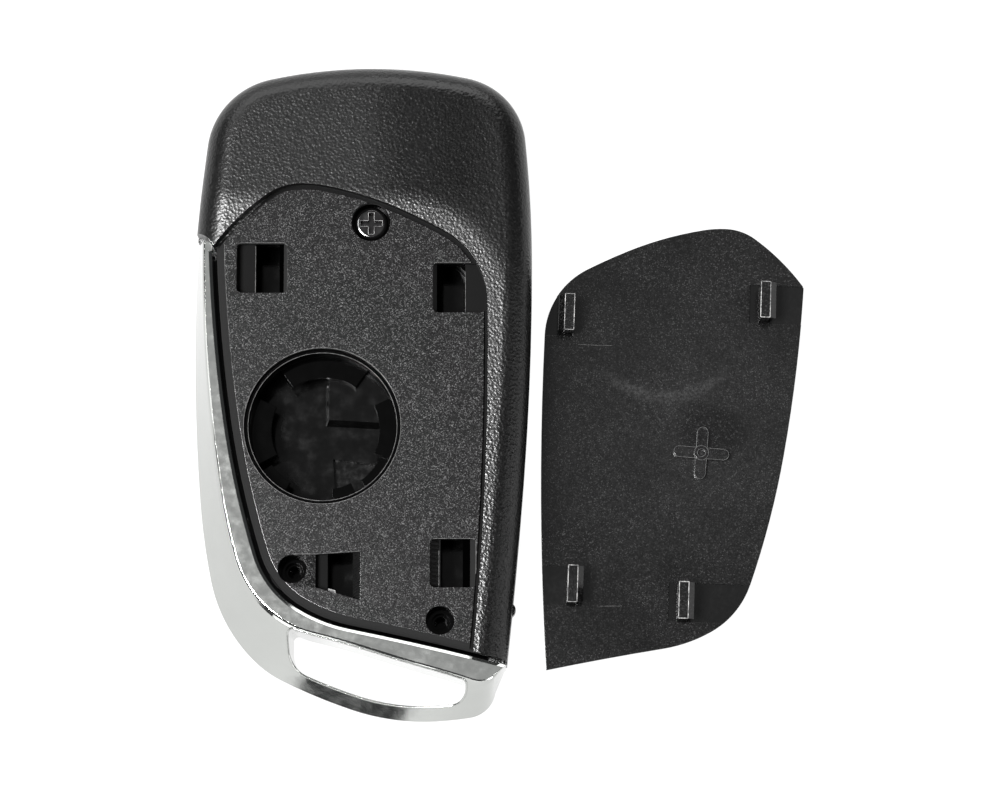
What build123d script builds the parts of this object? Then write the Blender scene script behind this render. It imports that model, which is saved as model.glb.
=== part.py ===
from build123d import *
import math
import os

# Flip key remote shell, lying on its front face with the back up. Millimetres, +Z up.
# The origin is on the surface it rests on, straight below the axis of the battery opening.
# +X is to the right and +Y towards the end that holds the blade's hub.

# Heights of the shell
FRONT_FLOOR = 1.4
SPLIT_Z = 7.4
SEAT_Z = 13.3
CREST_Z = 15.0
PANEL = 1.4
WALL = 1.5

# Outline of the casing, measured from the battery axis
SIDE_RIGHT = 28.4
SIDE_LEFT = 17.9
END_TOP = 50.3
END_LOW = -32.0
WAIST_Y = 22.5
TOP_CORNER_LEFT = 11.0
TOP_MIDDLE_X = 7.0
SIDE_BOW = 1.1
TOP_CORNER_RIGHT = 10.0
FRONT_EDGE_ROUND = 2.2
BACK_EDGE_ROUND = 4.0

# Crown of the back: level inside the crest line, falling away outside it
CREST_X = 10.3
CREST_Y = 16.4
CREST_RADIUS = 14.9
CREST_FALL = 8.0
CREST_LEAN = 3.2
CREST_ROUND = 14.0
GUTTER_WIDTH = 0.55
GUTTER_DEPTH = 0.4

# Plated trim with the key ring loop
TRIM_LOW_Z = 1.3
TRIM_WIDE_Z = 5.6
TRIM_TOP_Z = 13.5
TRIM_GAP = 0.6
TRIM_UNDERCUT = 1.3
TRIM_SHOULDER = 1.0
LIP_BEVEL = 0.4
LIP_DROP = 0.25
TONGUE_REACH = 1.2
TONGUE_THICK = 1.0
TONGUE_PLAY = 0.1
TONGUE_TOP_Y = 20.0
TONGUE_END_X = 18.0
TAB_PLACE = (0.9, 2.2, -26.9, -22.4)
TAB_RISE = 0.5
LOOP_BAR = 1.7
LOOP_LEFT_X = -4.6
LOOP_RIGHT_X = 19.6
LOOP_ROUNDS_LEFT = (4.2, 0.8)
LOOP_ROUNDS_RIGHT = (2.4, 0.9)
LOOP_RIM = 0.15
LOOP_DRAFT = 1.5
PANEL_EDGE_ROUND = 1.1

# Battery opening, for a coin cell of 20 mm, and its ledge tabs as start angle, end angle, reach
CELL_BORE = 20.2
CELL_STEP = 0.55
CELL_STEP_DEPTH = 1.0
CELL_DEPTH = 4.5
CELL_WALL = 1.2
CUP_RELIEF = 0.3
TAB_THICK = 1.0
TABS = [(54, 126, 2.9), (154, 208, 2.9), (214, 238, 1.6), (278, 297, 1.9), (306, 332, 1.5), (-25, 26, 2.5)]

# Screw holes: recess in the back casing, its ledge, and the post of the front casing below
SCREW_TOP = (6.45, 28.0)
SCREW_LEFT = (-3.9, -19.4)
SCREW_RIGHT = (16.0, -26.3)
SCREW_DEPTH = 4.6
SCREW_DEPTH_TOP = 2.9
SCREW_RECESS = 3.9
SCREW_RECESS_TOP = 5.3
SCREW_CLEARANCE = 2.4
SCREW_PILOT = 1.7
BOSS_WALL = 1.2
HEAD_DIAMETER = 4.6
HEAD_HEIGHT = 1.8
SHANK_LENGTH = 6.7
CROSS_WIDTH = 0.8
CROSS_SPAN = 3.0
CROSS_DEPTH = 1.0

# Clip slots in the seat: left, right, bottom and top edge, then where the hole through them lies
SLOT_TOP_LEFT = (-11.8, -4.9, 18.2, 25.1, -9.3, -6.1)
SLOT_TOP_RIGHT = (14.9, 22.0, 15.5, 22.4, 16.1, 19.3)
SLOT_LOW_RIGHT = (14.6, 20.8, -21.9, -15.3, 16.0, 19.0)
SLOT_LOW_LEFT = (-0.8, 5.25, -23.6, -17.0, 0.8, 4.2)
SLANT_TOP = 0.4
SLANT_LOW = 1.7
SLOT_STEP = 1.6
SLOT_HOUSING = 3.4
SLOT_RAMP = 2.6
SLOT_SKIN = 0.8
SLOT_CORNER = 0.7
FACET_WIDTH = 3.0
FACET_DEPTH = 0.35

# Battery cover
COVER_THICK = 1.5
COVER_CLEARANCE = 0.55
COVER_EDGE_ROUND = 0.6
COVER_TURN = 2.1
COVER_SHIFT = (51.5, 1.25)
HOOK_REACH = 4.4
HOOK_PLAY = 0.15
HOOK_LEG = 1.3
HOOK_BARB = 0.85
BARB_HEIGHT = 0.9
HOOK_LENGTH = 5.0
HOOK_RISE = 0.4
POCKET_DEPTH = 0.4
POCKET_MARGIN = 0.2
POCKET_BEHIND = 1.3
RIB_WIDTH = 1.5
RIB_HEIGHT = 0.9
RIB_X = -0.4
RIB_Y = 0.8
RIB_TURN = 2.5
RIB_SPAN_X = 7.6
RIB_SPAN_Y = 7.2
RIB_RING = 1.0
RIB_DIMPLE = 0.55
RIB_RING_HEIGHT = 0.2

# Blade and hub
HUB_X = SIDE_RIGHT - 12.0
HUB_Y = END_TOP - 11.9
HUB_RADIUS = 8.4
HUB_CLEARANCE = 0.15
HUB_LOW_Z = 2.1
HUB_TOP_Z = 11.1
HUB_BORE = 5.4
HUB_ROOF = 0.9
ARM_LOW_Z = 5.95
ARM_TOP_Z = 9.05
SLOT_PLAY = 0.25
TIP_ROOM = 1.0
ARM_INSIDE = 3.2
ARM_LENGTH = 11.0
BLADE_OFFSET = 7.6
BLADE_WIDTH = 6.4
BLADE_THICK = 2.1
BLADE_LENGTH = 36.0
TANG_LENGTH = 8.0
TANG_WIDTH = 4.6
GROOVE_WIDTH = 1.8
GROOVE_DEPTH = 0.45
PIN_RADIUS = 0.8

# Release button, its core and the spring
BUTTON_RADIUS = 5.05
BUTTON_PLAY = 0.25
FACE_RECESS = 0.15
FACE_ROUND = 0.4
DISH_DEPTH = 0.5
STEM_RADIUS = 2.6
STEM_TOP_Z = 7.7
CORE_THICK = 1.9
CORE_RADIUS = 5.1
LOBE_REACH = 8.1
LOBE_WIDTH = 4.0
RELEASE_TRAVEL = 2.4
SPRING_RADIUS = 3.95
SPRING_WIRE = 0.35
SPRING_TURNS = 5

# Keys on the front, from the hub's end down
KEY_X = 3.5
KEY_TOP_Y = 19.0
KEY_PITCH = 13.0
KEY_WIDTH = 13.0
KEY_LENGTH = 9.0
KEY_CORNER = 2.5
KEY_PLAY = 0.2
KEY_FLANGE = 0.8
KEY_FLANGE_THICK = 0.5
KEY_TRAVEL = 0.3
FRAME_TOP_Z = 2.6
FRAME_MARGIN = 1.2
PAD_THICK = 0.6
FRONT_LEDGE = 1.2
SOCKET_FLOOR_Z = 2.0
CHANNEL_WALL = 1.2
NUB = (25.15, -24.7)
NUB_RADIUS = 1.0
NUB_HEIGHT = 3.0
DOME_RADIUS = 2.5
TRAY_THICK = 1.0
TRAY_PLAY = 0.3
BLOCK_TOP_Z = 7.6
BLOCK_CORNERS = [(0.1, 1.1), (10.6, 0.5), (10.6, 10.6), (0.1, 10.6)]
BLOCK_DRAFT = 8.0
PIT_CORNERS = [(1.1, -3.5), (8.6, -4.4), (9.0, -8.3), (1.4, -8.3)]

# Points on the curves that the casing and the trim share, each curve running on from its start
WIDE_START = (-17.6, 26.0)
WIDE_HEADING = (-0.05, -1)
WIDE_STOPS = [(-17.0, -9.5), (-15.4, -20.4), (-9.4, -31.3), (-5.6, -34.0), (4.1, -38.0),
              (15.1, -39.5), (20.0, -39.0), (23.4, -35.7)]
RIDGE_START = (-16.4, 25.3)
RIDGE_HEADING = (0, -1)
RIDGE_STOPS = [(-13.5, -9.6), (-11.5, -18.1), (-6.4, -25.5), (-1.0, -28.1), (6.5, -30.2),
               (15.2, -32.8), (20.4, -34.4), (23.2, -34.0)]
LIP_START = (-15.2, 24.0)
LIP_HEADING = (0.04, -1)
LIP_STOPS = [(-13.0, 0.8), (-8.8, -17.5), (-3.1, -24.8), (3.8, -27.5), (24.8, -32.3)]
SEAT_START = (-15.4, 23.7)
SEAT_HEADING = (0.57, 0.82)
SEAT_STOPS = [(-7.4, 31.7), (-3.0, 33.1), (0.2, 32.8), (10.8, 29.4), (16.4, 26.6),
              (22.35, 16.7), (20.4, -31.1)]
FAR = 70.0


def moved_left(point, heading, aside):
    """A point moved to the left of a heading."""
    turned = Vector(heading).normalized().rotate(Axis.Z, 90)
    return (point[0] + turned.X * aside, point[1] + turned.Y * aside)


def arc_chain(start, heading, stops, aside=0.0):
    """Arcs that run on from each other without a corner, the whole curve moved to its left."""
    edges = []
    for stop in stops:
        arc = TangentArc(start, stop, tangent=heading)
        ahead = arc % 1
        first = moved_left(start, heading, aside)
        last = moved_left(stop, ahead, aside)
        edges.append(TangentArc(first, last, tangent=heading))
        start, heading = stop, ahead
    return edges


def lip_edges(aside=0.0):
    return arc_chain(LIP_START, LIP_HEADING, LIP_STOPS, aside)


def long_lip(aside):
    """The lip's curve with its first arc carried on upwards."""
    lip = lip_edges(aside)
    before = lip[0] @ -0.12
    lip[0] = ThreePointArc(before, lip[0] @ 0, lip[0] @ 1)
    return lip


def blend(first, second, share):
    """The point a share of the way from one to another."""
    return (first[0] + (second[0] - first[0]) * share, first[1] + (second[1] - first[1]) * share)


def side_edges(share, aside=0.0):
    """The trim's outer curve, a share of the way up from its widest curve to its ridge."""
    start = blend(WIDE_START, RIDGE_START, share)
    heading = blend(WIDE_HEADING, RIDGE_HEADING, share)
    stops = [blend(wide, ridge, share) for wide, ridge in zip(WIDE_STOPS, RIDGE_STOPS)]
    return arc_chain(start, heading, stops, aside)


def ring_between(first, second):
    """The flat shape between two curves that run the same way."""
    ends = [Line(first[0] @ 0, second[0] @ 0), Line(first[-1] @ 1, second[-1] @ 1)]
    return make_face(first + second + ends)


def area(x0, x1, y0, y1):
    """A rectangle between two corners."""
    return Pos((x0 + x1) / 2, (y0 + y1) / 2) * Rectangle(x1 - x0, y1 - y0)


def slab(sketch, low, high):
    """A flat shape drawn at z 0, standing from low to high."""
    return extrude(Pos(0, 0, low) * sketch, high - low)


def block(x0, x1, y0, y1, z0, z1):
    """A box between two corners."""
    return Pos((x0 + x1) / 2, (y0 + y1) / 2, (z0 + z1) / 2) * Box(x1 - x0, y1 - y0, z1 - z0)


def rod(x, y, radius, z0, z1):
    """An upright round bar."""
    return Pos(x, y, (z0 + z1) / 2) * Cylinder(radius, z1 - z0)


def prism(points, y0, y1):
    """A solid with the outline points in x and z, running from y0 to y1."""
    face = make_face(Polyline(points + points[:1]))
    return extrude(Plane(origin=(0, y1, 0), x_dir=(1, 0, 0), z_dir=(0, -1, 0)) * face, y1 - y0)


def wedge(start, end, radius):
    """A flat sector around the battery axis between two angles."""
    arc = CenterArc((0, 0), radius, start, end - start)
    return make_face([arc, Line((0, 0), arc @ 0), Line(arc @ 1, (0, 0))])


def beyond(curve):
    """All the ground to the right of a curve that runs down from the upper left."""
    first, last = curve[0] @ 0, curve[-1] @ 1
    rest = Polyline((last.X, last.Y), (FAR, last.Y), (FAR, FAR), (first.X, FAR), (first.X, first.Y))
    return make_face(curve + rest.edges())


def body_outline():
    """The casing seen from above, left square at the lower left, where the trim cuts it off."""
    widest = (SIDE_RIGHT, WAIST_Y)
    right_top = (SIDE_RIGHT - 1.7, END_TOP - 3.3)
    right_low = (SIDE_RIGHT - 3.4, END_LOW)
    left_top = (2.6 - SIDE_LEFT, END_TOP - 3.8)
    left_low = (-SIDE_LEFT, END_LOW)
    upper = TangentArc(widest, right_top, tangent=(0, 1))
    lower = arc_chain(widest, (0, -1), [(SIDE_RIGHT - SIDE_BOW, -7.0), right_low])
    left = ThreePointArc(left_low, (0.2 - SIDE_LEFT, WAIST_Y), left_top)
    top = ThreePointArc(left_top, (TOP_MIDDLE_X, END_TOP), right_top)
    face = make_face([upper, top, left, Line(left_low, right_low)] + lower)
    face = fillet(face.vertices().sort_by_distance(left_top)[0], TOP_CORNER_LEFT)
    return fillet(face.vertices().sort_by_distance(right_top)[0], TOP_CORNER_RIGHT)


def trim_end(start, finish):
    """The rounded top end of the trim between its outer curve and its lip."""
    middle = (Vector(start) + Vector(finish)) / 2 + Vector(0.3, 0.4)
    return ThreePointArc(start, middle, finish)


def casing_ground(gap=0.0):
    """The casing's footprint beside the trim, drawn back from it by a gap."""
    lip = lip_edges(gap)
    first, last = lip[0] @ 0, lip[-1] @ 1
    corner = (WIDE_START[0], WIDE_START[1] + gap)
    rest = Polyline((last.X, last.Y), (FAR, last.Y), (FAR, FAR), (-FAR, FAR), (-FAR, corner[1]), corner)
    ground = make_face([trim_end(corner, first)] + lip + rest.edges())
    return body_outline() & ground


def seat_ground(inset=0.0):
    """The seat of the battery cover, with all the ground below and left of it."""
    wall = arc_chain(SEAT_START, SEAT_HEADING, SEAT_STOPS, -inset)
    first, last = wall[0] @ 0, wall[-1] @ 1
    foot = (first.X - 4 * SEAT_HEADING[0], first.Y - 4 * SEAT_HEADING[1])
    rest = Polyline((last.X, last.Y), (last.X, -FAR), (-FAR, -FAR), (-FAR, foot[1]), foot, (first.X, first.Y))
    return make_face(wall + rest.edges())


def panel_ground(inset=0.0):
    """The panel under the battery cover: the seat up to the gap beside the trim."""
    return casing_ground(TRIM_GAP + inset) & seat_ground(inset)


def channel_side():
    """Where the blade's channel begins, seen from the inside of the casing."""
    return HUB_X + BLADE_OFFSET - BLADE_WIDTH / 2 - SLOT_PLAY


def room_ground(inset=0.0):
    """The hollow inside the casing, beside the blade's channel."""
    side = channel_side() - CHANNEL_WALL - inset
    return panel_ground(WALL + inset) & area(-FAR, side, -FAR, FAR)


def crown():
    """The space under the crowned back: level inside the crest line and falling outside it."""
    drop = (FAR - CREST_RADIUS) * math.tan(math.radians(CREST_FALL))
    corner = (CREST_RADIUS, CREST_Z)
    profile = make_face(Polyline((0, -5), (FAR, -5), (FAR, CREST_Z - drop), corner, (0, CREST_Z), (0, -5)))
    profile = fillet(profile.vertices().sort_by_distance(corner)[0], CREST_ROUND)
    upright = Plane(origin=(0, 0, 0), x_dir=(1, 0, 0), z_dir=(0, -1, 0)) * profile
    turned = revolve(Rot(0, 0, -CREST_LEAN) * upright, Axis.Z, 90 + CREST_LEAN)
    side = Rot(0, 0, -CREST_LEAN) * extrude(upright, 1.5 * FAR, dir=(0, -1, 0))
    top = extrude(Rot(0, 0, 90) * upright, FAR, dir=(-1, 0, 0))
    left = block(-FAR, 0.01, -FAR, 0.01, -5, CREST_Z)
    return Pos(CREST_X, CREST_Y, 0) * (turned + side + top + left)


def outer_rims(body, keep):
    """The rims of the body's upright walls that pass the test keep, all but the cut at the lower left."""
    rims = []
    for face in body.faces():
        if abs(face.normal_at().Z) < 0.02 and face.center().Y > END_LOW + 0.1:
            rims += [edge for edge in face.edges() if keep(edge.bounding_box())]
    return rims


def back_shell():
    """The crowned outside of the back casing, rounded along its rim and cut back for the trim."""
    body = (slab(body_outline(), SPLIT_Z, CREST_Z + 2) & crown()).solids()[0]
    body = body.fillet(BACK_EDGE_ROUND, outer_rims(body, lambda box: box.min.Z > SPLIT_Z + 2))
    beside_trim = slab(casing_ground(TRIM_GAP), SPLIT_Z, CREST_Z + 2)
    beside_trim += slab(casing_ground(), SPLIT_Z, SPLIT_Z + WALL)
    return body & beside_trim


def front_shell():
    """The outside of the front casing, rounded along its rim."""
    body = slab(body_outline(), 0, SPLIT_Z).solids()[0]
    body = body.fillet(FRONT_EDGE_ROUND, outer_rims(body, lambda box: box.max.Z < 1))
    return body & slab(casing_ground(), 0, SPLIT_Z)


def panel_edge_cutter():
    """What rounds the panel's edge facing the trim, in three facets."""
    sections = []
    for step in range(4):
        turn = math.radians(30 * step)
        aside = TRIM_GAP + PANEL_EDGE_ROUND * (1 - math.cos(turn))
        height = SEAT_Z - PANEL_EDGE_ROUND * (1 - math.sin(turn))
        sections.append(Pos(0, 0, height) * ring_between(long_lip(TRIM_GAP - 1), long_lip(aside)))
    return loft(sections, ruled=True) & slab(seat_ground(), SEAT_Z - PANEL_EDGE_ROUND, SEAT_Z + 1)


def slot_cutter(slot, catch_left):
    """What one clip slot takes away: a step over the catch, a hole and a ramp."""
    x0, x1, y0, y1, hole0, hole1 = slot
    cutter = block(hole0, hole1, y0, y1, SPLIT_Z - 1, SEAT_Z + 1)
    step = SEAT_Z - SLOT_STEP
    foot = SEAT_Z - SLOT_RAMP
    if catch_left:
        cutter += block(x0, hole0, y0, y1, step, SEAT_Z + 1)
        ramp = [(hole1, foot), (x1, SEAT_Z), (x1, SEAT_Z + 1), (hole1, SEAT_Z + 1)]
    else:
        cutter += block(hole1, x1, y0, y1, step, SEAT_Z + 1)
        ramp = [(hole0, foot), (x0, SEAT_Z), (x0, SEAT_Z + 1), (hole0, SEAT_Z + 1)]
    outline = Pos((x0 + x1) / 2, (y0 + y1) / 2) * RectangleRounded(x1 - x0, y1 - y0, SLOT_CORNER)
    return (cutter + prism(ramp, y0, y1)) & slab(outline & seat_ground(), SPLIT_Z - 2, SEAT_Z + 1)


def slot_housing(slot):
    """The walls under the panel around one clip slot."""
    x0, x1, y0, y1 = slot[:4]
    low = SEAT_Z - SLOT_HOUSING
    return block(x0 - SLOT_SKIN, x1 + SLOT_SKIN, y0 - SLOT_SKIN, y1 + SLOT_SKIN, low, SEAT_Z - PANEL / 2)


def slanted_slot_cutter():
    """The lower left clip slot, slanted along its top and bottom."""
    x0, x1, y0, y1, hole0, hole1 = SLOT_LOW_LEFT
    corners = [(x0, y1 - SLANT_TOP), (x1, y1), (x1, y0), (x0, y0 + SLANT_LOW)]
    outline = make_face(Polyline(corners + corners[:1]))
    hole = slab(outline & area(hole0, hole1, y0, y1), SPLIT_Z - 1, SEAT_Z)
    start = x0 - FACET_WIDTH
    facet = [(start, SEAT_Z), (x0, SEAT_Z - FACET_DEPTH), (x0, SEAT_Z + 1), (start, SEAT_Z + 1)]
    slope = prism(facet, y0 + SLANT_LOW, y1 - SLANT_TOP)
    return hole + slab(outline, SEAT_Z - SLOT_STEP, SEAT_Z + 1) + slope


def screw_holes():
    """The places of the three screw holes, each with the width and the depth of its recess."""
    left = (SCREW_LEFT, SCREW_RECESS, SCREW_DEPTH)
    right = (SCREW_RIGHT, SCREW_RECESS, SCREW_DEPTH)
    return [(SCREW_TOP, SCREW_RECESS_TOP, SCREW_DEPTH_TOP), left, right]


def cell_cup():
    """The round wall of the battery opening with the ledge tabs that the cell rests on."""
    radius = CELL_BORE / 2
    low = SEAT_Z - CELL_DEPTH
    cup = rod(0, 0, radius + CELL_WALL, low - TAB_THICK, SEAT_Z - PANEL / 2)
    cup -= rod(0, 0, radius, low - TAB_THICK - 1, SEAT_Z)
    cup -= rod(0, 0, radius + CUP_RELIEF, low - TAB_THICK - 1, low)
    for start, end, reach in TABS:
        tab = slab(wedge(start, end, radius + CELL_WALL / 2), low - TAB_THICK, low)
        cup += tab - rod(0, 0, radius - reach, low - TAB_THICK - 1, low + 1)
    return cup


def swing_room(low, top):
    """The space that the hub's arm and the blade sweep through, open at the side and the end."""
    arm_outer = BLADE_OFFSET + BLADE_WIDTH / 2
    arm_end = HUB_Y - ARM_LENGTH
    room = block(HUB_X - arm_outer - SLOT_PLAY, FAR, HUB_Y - SLOT_PLAY, FAR, low, top)
    room += block(HUB_X + ARM_INSIDE - SLOT_PLAY, FAR, arm_end - SLOT_PLAY, HUB_Y, low, top)
    return room + block(channel_side(), FAR, arm_end - BLADE_LENGTH - TIP_ROOM, HUB_Y, low, top)


def tongue(play=0.0):
    """The rib and the tab inside the trim that the two halves of the casing clamp."""
    low = SPLIT_Z - TONGUE_THICK / 2 - play
    top = SPLIT_Z + TONGUE_THICK / 2 + play
    band = ring_between(lip_edges(-0.3), lip_edges(TONGUE_REACH + play))
    rib = slab(band & area(-FAR, TONGUE_END_X + play, -FAR, TONGUE_TOP_Y + play), low, top)
    x0, x1, y0, y1 = TAB_PLACE
    return rib + block(x0 - play, x1 + play, y0, y1 + play, low, top + TAB_RISE)


def back_casing():
    body = back_shell()
    seat = seat_ground()
    body -= slab(seat, SEAT_Z, CREST_Z + 3)
    body -= panel_edge_cutter()
    gutter = seat - seat_ground(GUTTER_WIDTH)
    body -= slab(gutter & casing_ground(TRIM_GAP), SEAT_Z - GUTTER_DEPTH, SEAT_Z + 1)
    body -= slab(room_ground(), SPLIT_Z - 1, SEAT_Z - PANEL)
    body += cell_cup()
    for (x, y), width, depth in screw_holes():
        body += rod(x, y, width / 2 + BOSS_WALL, SPLIT_Z, SEAT_Z - PANEL / 2)
    clip_slots = [(SLOT_TOP_LEFT, True), (SLOT_TOP_RIGHT, False), (SLOT_LOW_RIGHT, True)]
    for slot in [SLOT_TOP_LEFT, SLOT_TOP_RIGHT, SLOT_LOW_RIGHT, SLOT_LOW_LEFT]:
        body += slot_housing(slot)
    for slot, catch_left in clip_slots:
        body -= slot_cutter(slot, catch_left)
    body -= slanted_slot_cutter()
    for (x, y), width, depth in screw_holes():
        body -= rod(x, y, width / 2, SEAT_Z - depth, CREST_Z + 3)
        body -= rod(x, y, SCREW_CLEARANCE / 2, SPLIT_Z - 1, SEAT_Z)
    body -= rod(0, 0, CELL_BORE / 2, SEAT_Z - CELL_DEPTH, CREST_Z)
    body -= rod(0, 0, CELL_BORE / 2 + CELL_STEP, SEAT_Z - CELL_STEP_DEPTH, CREST_Z)
    body -= rod(HUB_X, HUB_Y, HUB_RADIUS + HUB_CLEARANCE, SPLIT_Z - 1, HUB_TOP_Z + HUB_CLEARANCE)
    body -= swing_room(SPLIT_Z - 1, ARM_TOP_Z + SLOT_PLAY)
    body += rod(NUB[0], NUB[1], NUB_RADIUS, SPLIT_Z, SPLIT_Z + NUB_HEIGHT)
    return body - tongue(TONGUE_PLAY)


def key_places():
    """The middles of the three keys."""
    return [(KEY_X, KEY_TOP_Y - row * KEY_PITCH) for row in range(3)]


def key_shape(place, grow=0.0):
    """A key's rounded outline, grown all round."""
    shape = RectangleRounded(KEY_WIDTH + 2 * grow, KEY_LENGTH + 2 * grow, KEY_CORNER + grow)
    return Pos(place[0], place[1]) * shape


def frame_ground():
    """The outline of the frame that guides the keys."""
    margin = KEY_FLANGE + FRAME_MARGIN
    places = key_places()
    low, high = places[-1][1] - KEY_LENGTH / 2 - margin, places[0][1] + KEY_LENGTH / 2 + margin
    return area(KEY_X - KEY_WIDTH / 2 - margin, KEY_X + KEY_WIDTH / 2 + margin, low, high)


def front_casing():
    body = front_shell()
    tray_low = FRAME_TOP_Z + PAD_THICK
    body -= slab(room_ground(FRONT_LEDGE), FRONT_FLOOR, tray_low)
    body -= slab(room_ground(), tray_low, SPLIT_Z + 1)
    body += slab(frame_ground(), FRONT_FLOOR / 2, FRAME_TOP_Z)
    for (x, y), width, depth in screw_holes():
        body += rod(x, y, SCREW_PILOT / 2 + BOSS_WALL, FRONT_FLOOR / 2, SPLIT_Z)
        body -= rod(x, y, SCREW_PILOT / 2, FRONT_FLOOR + 1, SPLIT_Z + 1)
    for place in key_places():
        body -= slab(key_shape(place, KEY_PLAY), -1, FRAME_TOP_Z + 1)
        body -= slab(key_shape(place, KEY_FLANGE + KEY_PLAY), FRONT_FLOOR, FRAME_TOP_Z + 1)
    body -= rod(HUB_X, HUB_Y, HUB_RADIUS + HUB_CLEARANCE, SOCKET_FLOOR_Z, SPLIT_Z + 1)
    body -= rod(HUB_X, HUB_Y, BUTTON_RADIUS + BUTTON_PLAY, -1, SPLIT_Z)
    body -= swing_room(ARM_LOW_Z - SLOT_PLAY, SPLIT_Z + 1)
    return body - tongue(TONGUE_PLAY)


def trim_section(height, share, aside=0.0):
    """The trim's shape at one height, between its outer curve and the lip."""
    outer = side_edges(share, aside)
    lip = lip_edges()
    ends = [Line(outer[-1] @ 1, lip[-1] @ 1), trim_end(outer[0] @ 0, lip[0] @ 0)]
    return Pos(0, 0, height) * make_face(outer + lip + ends)


def trim_body():
    """The trim's sloping side, drawn in below and rounded over along its ridge."""
    wide = trim_section(TRIM_WIDE_Z, 0)
    below = loft([trim_section(TRIM_LOW_Z, 0, TRIM_UNDERCUT), wide], ruled=True)
    sections = [wide]
    rise = TRIM_TOP_Z - TRIM_WIDE_Z
    for step in range(4):
        first, last = (1 - step / 3) ** 2, (step / 3) ** 2
        sections.append(trim_section(TRIM_TOP_Z - first * TRIM_SHOULDER, 1 - first * TRIM_SHOULDER / rise,
                                     last * TRIM_SHOULDER / 4))
    return below + loft(sections, ruled=True)


def chrome_trim():
    body = trim_body()
    bevel_low = ring_between(lip_edges(), lip_edges(1))
    bevel_top = ring_between(lip_edges(-LIP_BEVEL), lip_edges(1))
    bevel = [Pos(0, 0, TRIM_TOP_Z - LIP_DROP) * bevel_low, Pos(0, 0, TRIM_TOP_Z) * bevel_top]
    body -= loft(bevel, ruled=True)
    body -= loop_opening()
    body -= slab(casing_ground(), TRIM_LOW_Z - 1, SPLIT_Z + WALL)
    return body + tongue()


def loop_outline(draw):
    """The key ring slot's outline, drawn in all round."""
    slot = ring_between(side_edges(0, LOOP_BAR + draw), side_edges(1, -LOOP_RIM - draw))
    slot = slot & area(LOOP_LEFT_X + draw, LOOP_RIGHT_X - draw, -FAR, 0)
    for first, rounds in ((0, LOOP_ROUNDS_LEFT), (-2, LOOP_ROUNDS_RIGHT)):
        for corner, radius in zip(slot_corners(slot, first), rounds):
            slot = fillet(slot.vertices().sort_by_distance(corner)[0], radius * (1 - draw / 2))
    return slot


def slot_corners(slot, first):
    """The lower and the upper corner at one end of the key ring slot."""
    pair = slot.vertices().sort_by(Axis.X)[first:][:2]
    return [vertex.center() for vertex in pair.sort_by(Axis.Y)]


def loop_opening():
    """The slot for the key ring, narrowing downwards."""
    draw = (TRIM_TOP_Z - TRIM_LOW_Z) * math.tan(math.radians(LOOP_DRAFT))
    top = Pos(0, 0, TRIM_TOP_Z + 0.1) * loop_outline(0)
    bottom = Pos(0, 0, TRIM_LOW_Z - 0.1) * loop_outline(draw)
    return loft([bottom, top], ruled=True)


def cover_plate():
    """The battery cover's plate as it lies in its seat."""
    lip = long_lip(TRIM_GAP + COVER_CLEARANCE)
    outline = seat_ground(COVER_CLEARANCE) & beyond(lip)
    plate = slab(outline, SEAT_Z, SEAT_Z + COVER_THICK).solids()[0]
    top = plate.faces().sort_by(Axis.Z)[-1]
    return plate.fillet(COVER_EDGE_ROUND, top.edges())


def hook_place(slot, catch_left):
    """The side of a hook that bears the barb, its other side, and the middle of its length."""
    x0, x1, y0, y1, hole0, hole1 = slot
    middle = (y0 + y1) / 2 + HOOK_RISE
    if catch_left:
        return hole0 + HOOK_PLAY, hole0 + HOOK_PLAY + HOOK_LEG, middle
    return hole1 - HOOK_PLAY, hole1 - HOOK_PLAY - HOOK_LEG, middle


def hook(slot, catch_left):
    """A hook of the battery cover, reaching through its clip slot."""
    inner, outer, middle = hook_place(slot, catch_left)
    turn = 1 if outer > inner else -1
    tip = SEAT_Z - HOOK_REACH
    foot = SEAT_Z + POCKET_DEPTH + 0.01
    barb = (inner - turn * HOOK_BARB, tip + BARB_HEIGHT)
    points = [(inner, foot), (inner, tip + BARB_HEIGHT), barb, (inner, tip), (outer, tip), (outer, foot)]
    return prism(points, middle - HOOK_LENGTH / 2, middle + HOOK_LENGTH / 2)


def hook_pocket(slot, catch_left, side, behind):
    """The shallow pocket at a hook's foot, from some way behind the hook out to the cover's edge."""
    inner, outer, middle = hook_place(slot, catch_left)
    half = HOOK_LENGTH / 2 + POCKET_MARGIN
    if side < 0:
        start, end = -FAR, max(inner, outer) + behind
    else:
        start, end = min(inner, outer) - behind, FAR
    return block(start, end, middle - half, middle + half, SEAT_Z - 1, SEAT_Z + POCKET_DEPTH)


def cover_rib():
    """The plus-shaped rib inside the battery cover, with a ringed dimple in its middle."""
    low = SEAT_Z - RIB_HEIGHT
    rib = rod(0, 0, RIB_RING, low - RIB_RING_HEIGHT, SEAT_Z)
    for span, turn in ((RIB_SPAN_X, RIB_TURN), (RIB_SPAN_Y, 90 + RIB_TURN)):
        rib += slab(Rot(0, 0, turn) * SlotOverall(span, RIB_WIDTH), low, SEAT_Z)
    rib -= rod(0, 0, RIB_DIMPLE, low - RIB_RING_HEIGHT - 1, low + RIB_RING_HEIGHT)
    return Pos(RIB_X, RIB_Y) * rib


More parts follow.
